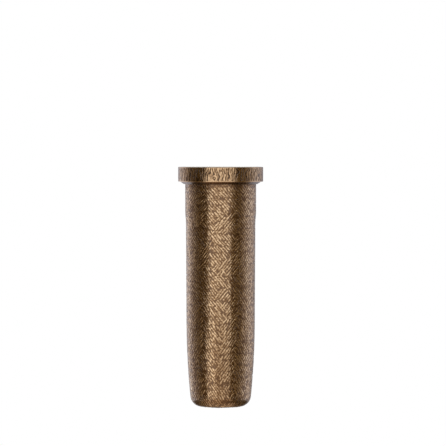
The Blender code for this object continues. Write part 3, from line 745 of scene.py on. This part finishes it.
def cutThread(add, given):
    # A helical groove cut into a turned blank between two depths of its own axis
    position = add("GeometryNodeInputPosition")
    local = add("ShaderNodeVectorMath", [position, given["Origin"]], operation="SUBTRACT")
    down, first, second = [
        add("ShaderNodeVectorMath", [local, given[way]], operation="DOT_PRODUCT").outputs["Value"]
        for way in ("Way", "Side", "Other Side")]
    angle = add("ShaderNodeMath", [second, first], operation="ARCTAN2")
    pitches = add("ShaderNodeMath", [down, given["Pitch"]], operation="DIVIDE")
    phase = add("ShaderNodeMath", [angle, 1 / turn, pitches], operation="MULTIPLY_ADD")
    groove = add("ShaderNodeMath", [phase, 0.5], operation="PINGPONG")
    inwards = add("ShaderNodeMapRange", {
        "Value": groove, "From Min": flank[0], "From Max": flank[1], "To Max": given["Relief"]})
    start = add("ShaderNodeMath", [down, given["From"]], operation="SUBTRACT")
    end = add("ShaderNodeMath", [given["To"], down], operation="SUBTRACT")
    inside = add("ShaderNodeMath", [start, end], operation="MINIMUM")
    fade = add("ShaderNodeMapRange", {"Value": inside, "From Max": given["Pitch"]})
    cutBy = add("ShaderNodeMath", [inwards, fade], operation="MULTIPLY")
    alongWay = add("ShaderNodeVectorMath", {0: given["Way"], "Scale": down}, operation="SCALE")
    outward = add("ShaderNodeVectorMath", [local, alongWay], operation="SUBTRACT")
    outwardWay = add("ShaderNodeVectorMath", [outward], operation="NORMALIZE")
    offset = add("ShaderNodeVectorMath", {0: outwardWay, "Scale": cutBy}, operation="SCALE")
    reach = add("ShaderNodeVectorMath", [outward], operation="LENGTH").outputs["Value"]
    skin = add("ShaderNodeMath", [reach, given["Skin From"]], operation="GREATER_THAN")
    return add("GeometryNodeSetPosition", {
        "Geometry": given["Geometry"], "Selection": skin, "Offset": offset})


def hexSocket(mesh, place, radius, top, bottom):
    # Press the round recess that lies between two depths into a six-sided key hole
    back = place.inverted()
    for vert in mesh.vertices:
        x, y, z = back @ vert.co
        if nearly < math.hypot(x, y) < radius + nearly and top - nearly < -z < bottom + nearly:
            angle = math.atan2(x, y) % (turn / 6) - turn / 12
            share = math.cos(turn / 12) / math.cos(angle)
            vert.co = place @ Vector((x * share, y * share, z))


def makeScrew(name, body, node, place, size, profile):
    # Turn the blank below its socket's chamfer, key the socket and cut the thread
    floor = size["top"] + size["socketDepth"]
    chamfer = size["top"] + size["chamfer"]
    socket = [(0, floor + size["socketPoint"]), (size["socket"], floor), (size["socket"], chamfer)]
    mesh = turnedMesh(name, socket + profile, screwSteps, place)
    hexSocket(mesh, place, size["socket"], chamfer, floor)
    piece = newPiece(name, mesh, screwSteel, sharpAngle=30)
    turned = place.to_3x3()
    runTree(piece, "cut thread", cutThread, {
        "Origin": place.translation, "Way": turned @ Vector((0, 0, -1)), "Side": turned @ Vector((1, 0, 0)),
        "Other Side": turned @ Vector((0, 1, 0)), "From": size["threadFrom"], "To": size["threadTo"],
        "Pitch": size["pitch"], "Relief": -size["threadDepth"], "Skin From": size["skinFrom"],
        "Finish": screwSteel})
    standIn(piece, body, node)


def wallPlace(node):
    # The own frame of a screw or plug: its top looks into the room and its depth runs into the wall
    low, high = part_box(node)
    return Matrix.Translation((0, low.y, (low.z + high.z) / 2)) @ Matrix.Rotation(math.radians(90), 4, "X")


def makeWallScrew(end):
    size = wallScrew
    radius, length = size["radius"], size["length"]
    shankEnd = length - size["point"]
    profile = [(size["socket"] + size["socketChamfer"], 0), (size["headRadius"] - size["chamfer"], 0)]
    profile += [(size["headRadius"], size["chamfer"])]
    profile += [(radius, d) for d in spaced(size["headHeight"], shankEnd, size["shankStep"])]
    pointDepths = spaced(shankEnd, length, size["pointStep"])[1:]
    profile += [(radius * (length - d) / size["point"], d) for d in pointDepths]
    node = "wall_screw_" + end
    makeScrew("wallScrew" + end.capitalize(), "bracket", node, wallPlace(node), size, profile)


def makeLockScrew():
    size = lockScrew
    radius, top, tip = size["radius"], size["top"], size["tip"]
    profile = [(size["socket"] + size["chamfer"], top), (radius - size["shoulder"], top)]
    profile += [(radius, d) for d in spaced(top + size["shoulder"], tip - size["point"], size["shankStep"])]
    profile += [(radius - size["point"], tip), (0, tip)]
    makeScrew("lockScrew", "lock", "lock_screw", lockPlace(), size, profile)


def makeWallPlug(end):
    # Sleeve with saw-tooth barbs, split lengthways on two sides so that it can spread
    node = "wall_plug_" + end
    place = wallPlace(node)
    size = wallPlug
    profile = [(size["bore"], 0), (size["collar"], 0), (size["collar"], size["collarDepth"])]
    for depth in spaced(2 * size["collarDepth"], size["length"] - size["plainEnd"], size["step"]):
        tooth = (depth - size["barbFrom"]) / size["barbPitch"] % 1 if depth > size["barbFrom"] else 0
        profile.append((size["outer"] - size["barbDepth"] * tooth, depth))
    profile += [(size["nose"], size["length"]), (size["bore"], size["length"])]
    mesh = turnedMesh("wallPlug", profile, size["steps"], place, True)
    back = place.inverted()
    for vert in mesh.vertices:
        x, y, z = back @ vert.co
        reach = math.hypot(x, y)
        if abs(y) < size["splitWidth"] / 2 and -z > size["splitFrom"] and reach > size["splitFloor"]:
            share = size["splitFloor"] / reach
            vert.co = place @ Vector((x * share, y * share, z))
    piece = newPiece("wallPlug" + end.capitalize(), mesh, plugNylon, sharpAngle=30)
    standIn(piece, "bracket", node)


for screwEnd in ("upper", "lower"):
    makeWallScrew(screwEnd)
    makeWallPlug(screwEnd)
makeLockScrew()
print("screws and plugs made")

# The liner, as the frame has it, with rounded flange edges and a fine wall
liner = {
    "wall": 1.2 * mm, "floor": 1.4 * mm, "corner": 6 * mm, "flange": 0.9 * mm, "edge": 0.3 * mm,
    "clearance": 0.5 * mm, "steps": 128, "cornerPoints": 10, "edgePoints": 4}


def makeLiner():
    wall, corner, edge = liner["wall"], liner["corner"], liner["edge"]
    cornerPoints, edgePoints = liner["cornerPoints"], liner["edgePoints"]
    flangeRadius = (linerHigh.x - linerLow.x) / 2
    bottom = rimZ - linerLow.z
    inset = tube["wall"] + liner["clearance"]
    topRadius = tubeRadius(tube["shoulderDepth"] + tube["stepLength"]) - inset
    cornerRadius = footRadius - inset - corner
    floorTop = bottom - liner["floor"]
    inner = corner - wall
    profile = [(0, floorTop)] + arc(cornerRadius, floorTop - inner, inner, 90, 0, cornerPoints)
    profile += arc(topRadius - wall + edge, edge, edge, 180, 270, edgePoints)
    profile += arc(flangeRadius - edge, edge, edge, -90, 0, edgePoints)
    profile += [(flangeRadius, liner["flange"]), (topRadius, liner["flange"])]
    profile += arc(cornerRadius, bottom - corner, corner, 0, 90, cornerPoints) + [(0, bottom)]
    mesh = turnedMesh("liner", profile, liner["steps"], uprightPlace)
    standIn(newPiece("mouldedLiner", mesh, linerPolythene), "liner", "liner")


makeLiner()
for rubberNode in ("rubber_bumper", "seat_gasket"):
    frame["nodes"][rubberNode].data.materials.clear()
    frame["nodes"][rubberNode].data.materials.append(rubber)
print("liner and rubber pieces made")

# Studio: white all round, tall cards that shape the bright strip and the edges' reflections, and
# a pale floor. A card's rows give a height and how far it is from white there, and its stops
# give an angle round the object and the tone there.
studio = {
    "cardDistance": 0.6, "stopSteps": 6, "boardPoints": 48, "floorZ": -1.25, "floorRadius": 2.4,
    "floorPoints": 64, "floorTone": "#F4F3F1", "floorRoughness": 0.9, "floorGlow": 0.55,
    "diffuseLevel": 0.8, "lampEnergy": 9.0, "lampSize": 0.9, "lampPlace": (-0.5, -1.1, 1.3),
    "cards": {
        "leftCard": {"rows": [(-0.42, 1), (0.018, 1)], "stops": [
            (-180, "#908C94"), (-165, "#BEBAC0"), (-150, "#E6E4EE"), (-142, "#FAFAFF"), (-125, "#E6E8F4"),
            (-112, "#B8B4BE"), (-101, "#938D8D"), (-91, "#8A8278"), (-82, "#685C4A"), (-65, "#56472B"),
            (-50, "#463820")]},
        "leftReveal": {"rows": [(-0.2, 1), (0.018, 1)], "stops": [(-50, "#463820"), (-39.5, "#463820")]},
        "leftRingCard": {"rows": [(0.018, 1), (0.45, 1)], "stops": [
            (-180, "#5E5A5E"), (-168, "#6E6A6E"), (-158, "#B0ACB4"), (-142, "#D2D0DA"), (-125, "#DCDEEA"),
            (-112, "#B8B4BE"), (-101, "#989292"), (-91, "#7B7369"), (-82, "#574C3C"), (-65, "#3E321C"),
            (-38, "#40331C")]},
        "ringGleam": {"rows": [(0.018, 0.42), (0.45, 0.42)], "stops": [
            (-38, "#8A7A68"), (-33, "#A89888"), (-26, "#F4EEE8"), (-15, "#E0D6CC"), (0, "#DCD2C8"),
            (12, "#E2DAD0"), (39, "#E6DED6")]},
        "leftHead": {"rows": [(0.45, 1), (1.6, 1)], "stops": [
            (-180, "#A8A29C"), (-150, "#A09A94"), (-125, "#5A4C3A"), (-95, "#4A3C28"), (-41, "#3A2C1C")]},
        "leftFoot": {"rows": [(-1.1, 1), (-0.42, 1)], "stops": [
            (-180, "#8A8078"), (-155, "#5A4A38"), (-125, "#4C4028"), (-76, "#54462C")]},
        "rightRingCard": {"rows": [(0.018, 1), (0.45, 1)], "stops": [
            (39, "#564628"), (52, "#5A4828"), (60, "#50442C"), (68, "#5C503C"), (76, "#7C7266"),
            (85, "#A19B9A"), (94, "#BEBCC2"), (105, "#CCD0E0"), (120, "#C8CAD6"), (135, "#B0AEB6"),
            (158, "#9A969C"), (168, "#6E6A6E"), (180, "#5E5A5E")]},
        "rightCard": {"rows": [(-0.42, 1), (0.018, 1)], "stops": [
            (41, "#564728"), (52, "#605132"), (60, "#605238"), (68, "#736650"), (76, "#8B8175"),
            (85, "#ABA5A4"), (94, "#CACACE"), (105, "#D4D8E8"), (120, "#DCDEEA"), (135, "#BAB8C0"),
            (153, "#A6A4AA"), (180, "#A09CA2")]},
        "rightReveal": {"rows": [(-0.42, 1), (0.018, 1)], "stops": [(33, "#564728"), (41, "#564728")]},
        "rightHead": {"rows": [(0.45, 1), (1.6, 1)], "stops": [
            (33, "#3A2C1C"), (95, "#4A3C28"), (120, "#5A4C3A"), (145, "#A09A94"), (180, "#A8A29C")]},
        "rightFoot": {"rows": [(-1.1, 1), (-0.42, 1)], "stops": [
            (46, "#54462C"), (75, "#4C4028"), (125, "#4C4028"), (155, "#5A4A38"), (180, "#8A8078")]},
        "headCard": {"rows": [(0.45, 1), (1.6, 1)], "stops": [(-41, "#3A2C1C"), (33, "#3A2C1C")]},
        "shadeCard": {"rows": [(-0.42, 1), (-0.2, 1), (-0.1, 0.28), (0.018, 0.28)], "stops": [
            (-39.5, "#FFFBF5"), (-22, "#FFF8F0"), (-15.5, "#D2C8BF"), (-9, "#B2A89E"), (-2, "#B6ACA2"),
            (5, "#D0C7BE"), (12, "#D0C8BF"), (33, "#C2B8AF")]},
        "lowGleam": {"rows": [(-0.42, 1), (-0.2, 1)], "stops": [(-50, "#F4EEE8"), (-39.5, "#F4EEE8")]},
        "footCard": {"rows": [(-1.1, 1), (-0.42, 1)], "stops": [
            (-76, "#A8988A"), (-40, "#BCAA9A"), (0, "#BCA894"), (46, "#A08C78")]}},
    "boards": {"table": (-1.1, "#B4A494"), "ceiling": (1.6, "#8A705A")}}
view = {
    "place": (0.002, -2.046, 0.054), "aim": (0.002, -0.046, -0.009), "lens": 190.5, "sensor": 36,
    "clipStart": 0.05}


def seenShare(add):
    # 1 where the camera, a reflection or a view through glass looks, and 0 for the light it gives
    path = add("ShaderNodeLightPath").outputs
    seen = add("ShaderNodeMath", [path["Is Camera Ray"], path["Is Glossy Ray"]], operation="MAXIMUM")
    return add("ShaderNodeMath", [seen, path["Is Transmission Ray"]], operation="MAXIMUM")


def makeWorld():
    world = bpy.data.worlds.new("white studio")
    bpy.context.scene.world = world
    world.use_nodes = True
    tree = world.node_tree
    add = partial(addNode, tree)
    strength = add("ShaderNodeMapRange", {"Value": seenShare(add), "To Min": studio["diffuseLevel"]})
    feed(tree.nodes["Background"], {"Color": (1, 1, 1, 1), "Strength": strength})


def flatBoard(name, radius, middleY, height, count):
    # A round board that lies level
    angles = [turn * i / count for i in range(count)]
    rim = [(radius * math.cos(a), middleY + radius * math.sin(a), height) for a in angles]
    mesh = bpy.data.meshes.new(name)
    mesh.from_pydata(rim, [], [tuple(range(count))])
    return mesh


def reflectedOnly(name, mesh, toneAt):
    # A studio piece that only reflections see. It glows with the tone of each of its points and takes no
    # light, a light panel for the metal to mirror.
    card = addObject(name, mesh)
    tones = mesh.attributes.new("tone", "FLOAT_COLOR", "POINT")
    for index in range(len(mesh.vertices)):
        tones.data[index].color = toneAt(index)
    emitter = bpy.data.materials.new("glowing studio felt, " + name)
    emitter.use_nodes = True
    add = partial(addNode, emitter.node_tree)
    tone = add("ShaderNodeAttribute", attribute_name="tone")
    glow = add("ShaderNodeEmission", {"Color": tone, "Strength": 1.0})
    feed(emitter.node_tree.nodes["Material Output"], [glow])
    mesh.materials.append(emitter)
    for ray in ("camera", "diffuse", "transmission", "volume_scatter", "shadow"):
        setattr(card, "visible_" + ray, False)


def makeCard(name, rows, stops):
    # An upright curved card round the object
    away, steps = studio["cardDistance"], studio["stopSteps"]
    columns = []
    for (start, startCode), (end, endCode) in zip(stops, stops[1:]):
        first, last = Vector(tint(startCode)), Vector(tint(endCode))
        columns += [(start + (end - start) * i / steps, first.lerp(last, i / steps)) for i in range(steps)]
    columns.append((stops[-1][0], Vector(tint(stops[-1][1]))))
    count = len(columns)
    points = [(away * math.sin(math.radians(a)), axisY - away * math.cos(math.radians(a)), z)
              for z, share in rows for a, tone in columns]
    starts = [row * count + i for row in range(len(rows) - 1) for i in range(count - 1)]
    mesh = bpy.data.meshes.new(name)
    mesh.from_pydata(points, [], [(i, i + 1, i + 1 + count, i + count) for i in starts])
    white = Vector((1, 1, 1, 1))
    reflectedOnly(name, mesh, lambda index: white.lerp(columns[index % count][1], rows[index // count][1]))


def makeFloor():
    # Pale floor: seen directly it is near white, and it keeps the object's shadow
    mesh = flatBoard("studioFloor", studio["floorRadius"], 0, studio["floorZ"], studio["floorPoints"])
    paint = bpy.data.materials.new("matt white floor paint")
    paint.use_nodes = True
    tree = paint.node_tree
    add = partial(addNode, tree)
    share = add("ShaderNodeMath", [seenShare(add), studio["floorGlow"]], operation="MULTIPLY")
    glow = add("ShaderNodeEmission", {"Color": (1, 1, 1, 1), "Strength": 1.0})
    shader = tree.nodes["Principled BSDF"]
    feed(shader, {"Base Color": tint(studio["floorTone"]), "Roughness": studio["floorRoughness"]})
    feed(tree.nodes["Material Output"], [add("ShaderNodeMixShader", [share, shader, glow])])
    mesh.materials.append(paint)
    addObject("studioFloor", mesh)


def placeAimed(thing, place, aim):
    thing.location = place
    thing.rotation_euler = (Vector(aim) - Vector(place)).to_track_quat("-Z", "Y").to_euler()


def makeLampAndCamera():
    lamp = bpy.data.lights.new("soft top light", "AREA")
    lamp.energy = studio["lampEnergy"]
    lamp.size = studio["lampSize"]
    lampObject = addObject("soft top light", lamp)
    placeAimed(lampObject, studio["lampPlace"], (0, axisY, 0))
    lampObject.visible_glossy = False
    camera = bpy.data.cameras.new("camera")
    camera.lens = view["lens"]
    camera.sensor_width = view["sensor"]
    camera.clip_start = view["clipStart"]
    cameraObject = addObject("camera", camera)
    placeAimed(cameraObject, view["place"], view["aim"])
    bpy.context.scene.camera = cameraObject


makeWorld()
for cardName, card in studio["cards"].items():
    makeCard(cardName, **card)
# Round brown boards far below and above, which the foot's and the ring's corners mirror
for boardName, (boardHeight, boardTone) in studio["boards"].items():
    board = flatBoard(boardName, studio["cardDistance"], axisY, boardHeight, studio["boardPoints"])
    reflectedOnly(boardName, board, lambda index: tint(boardTone))
makeFloor()
makeLampAndCamera()
bpy.context.scene.view_settings.view_transform = "Standard"
print("studio set")
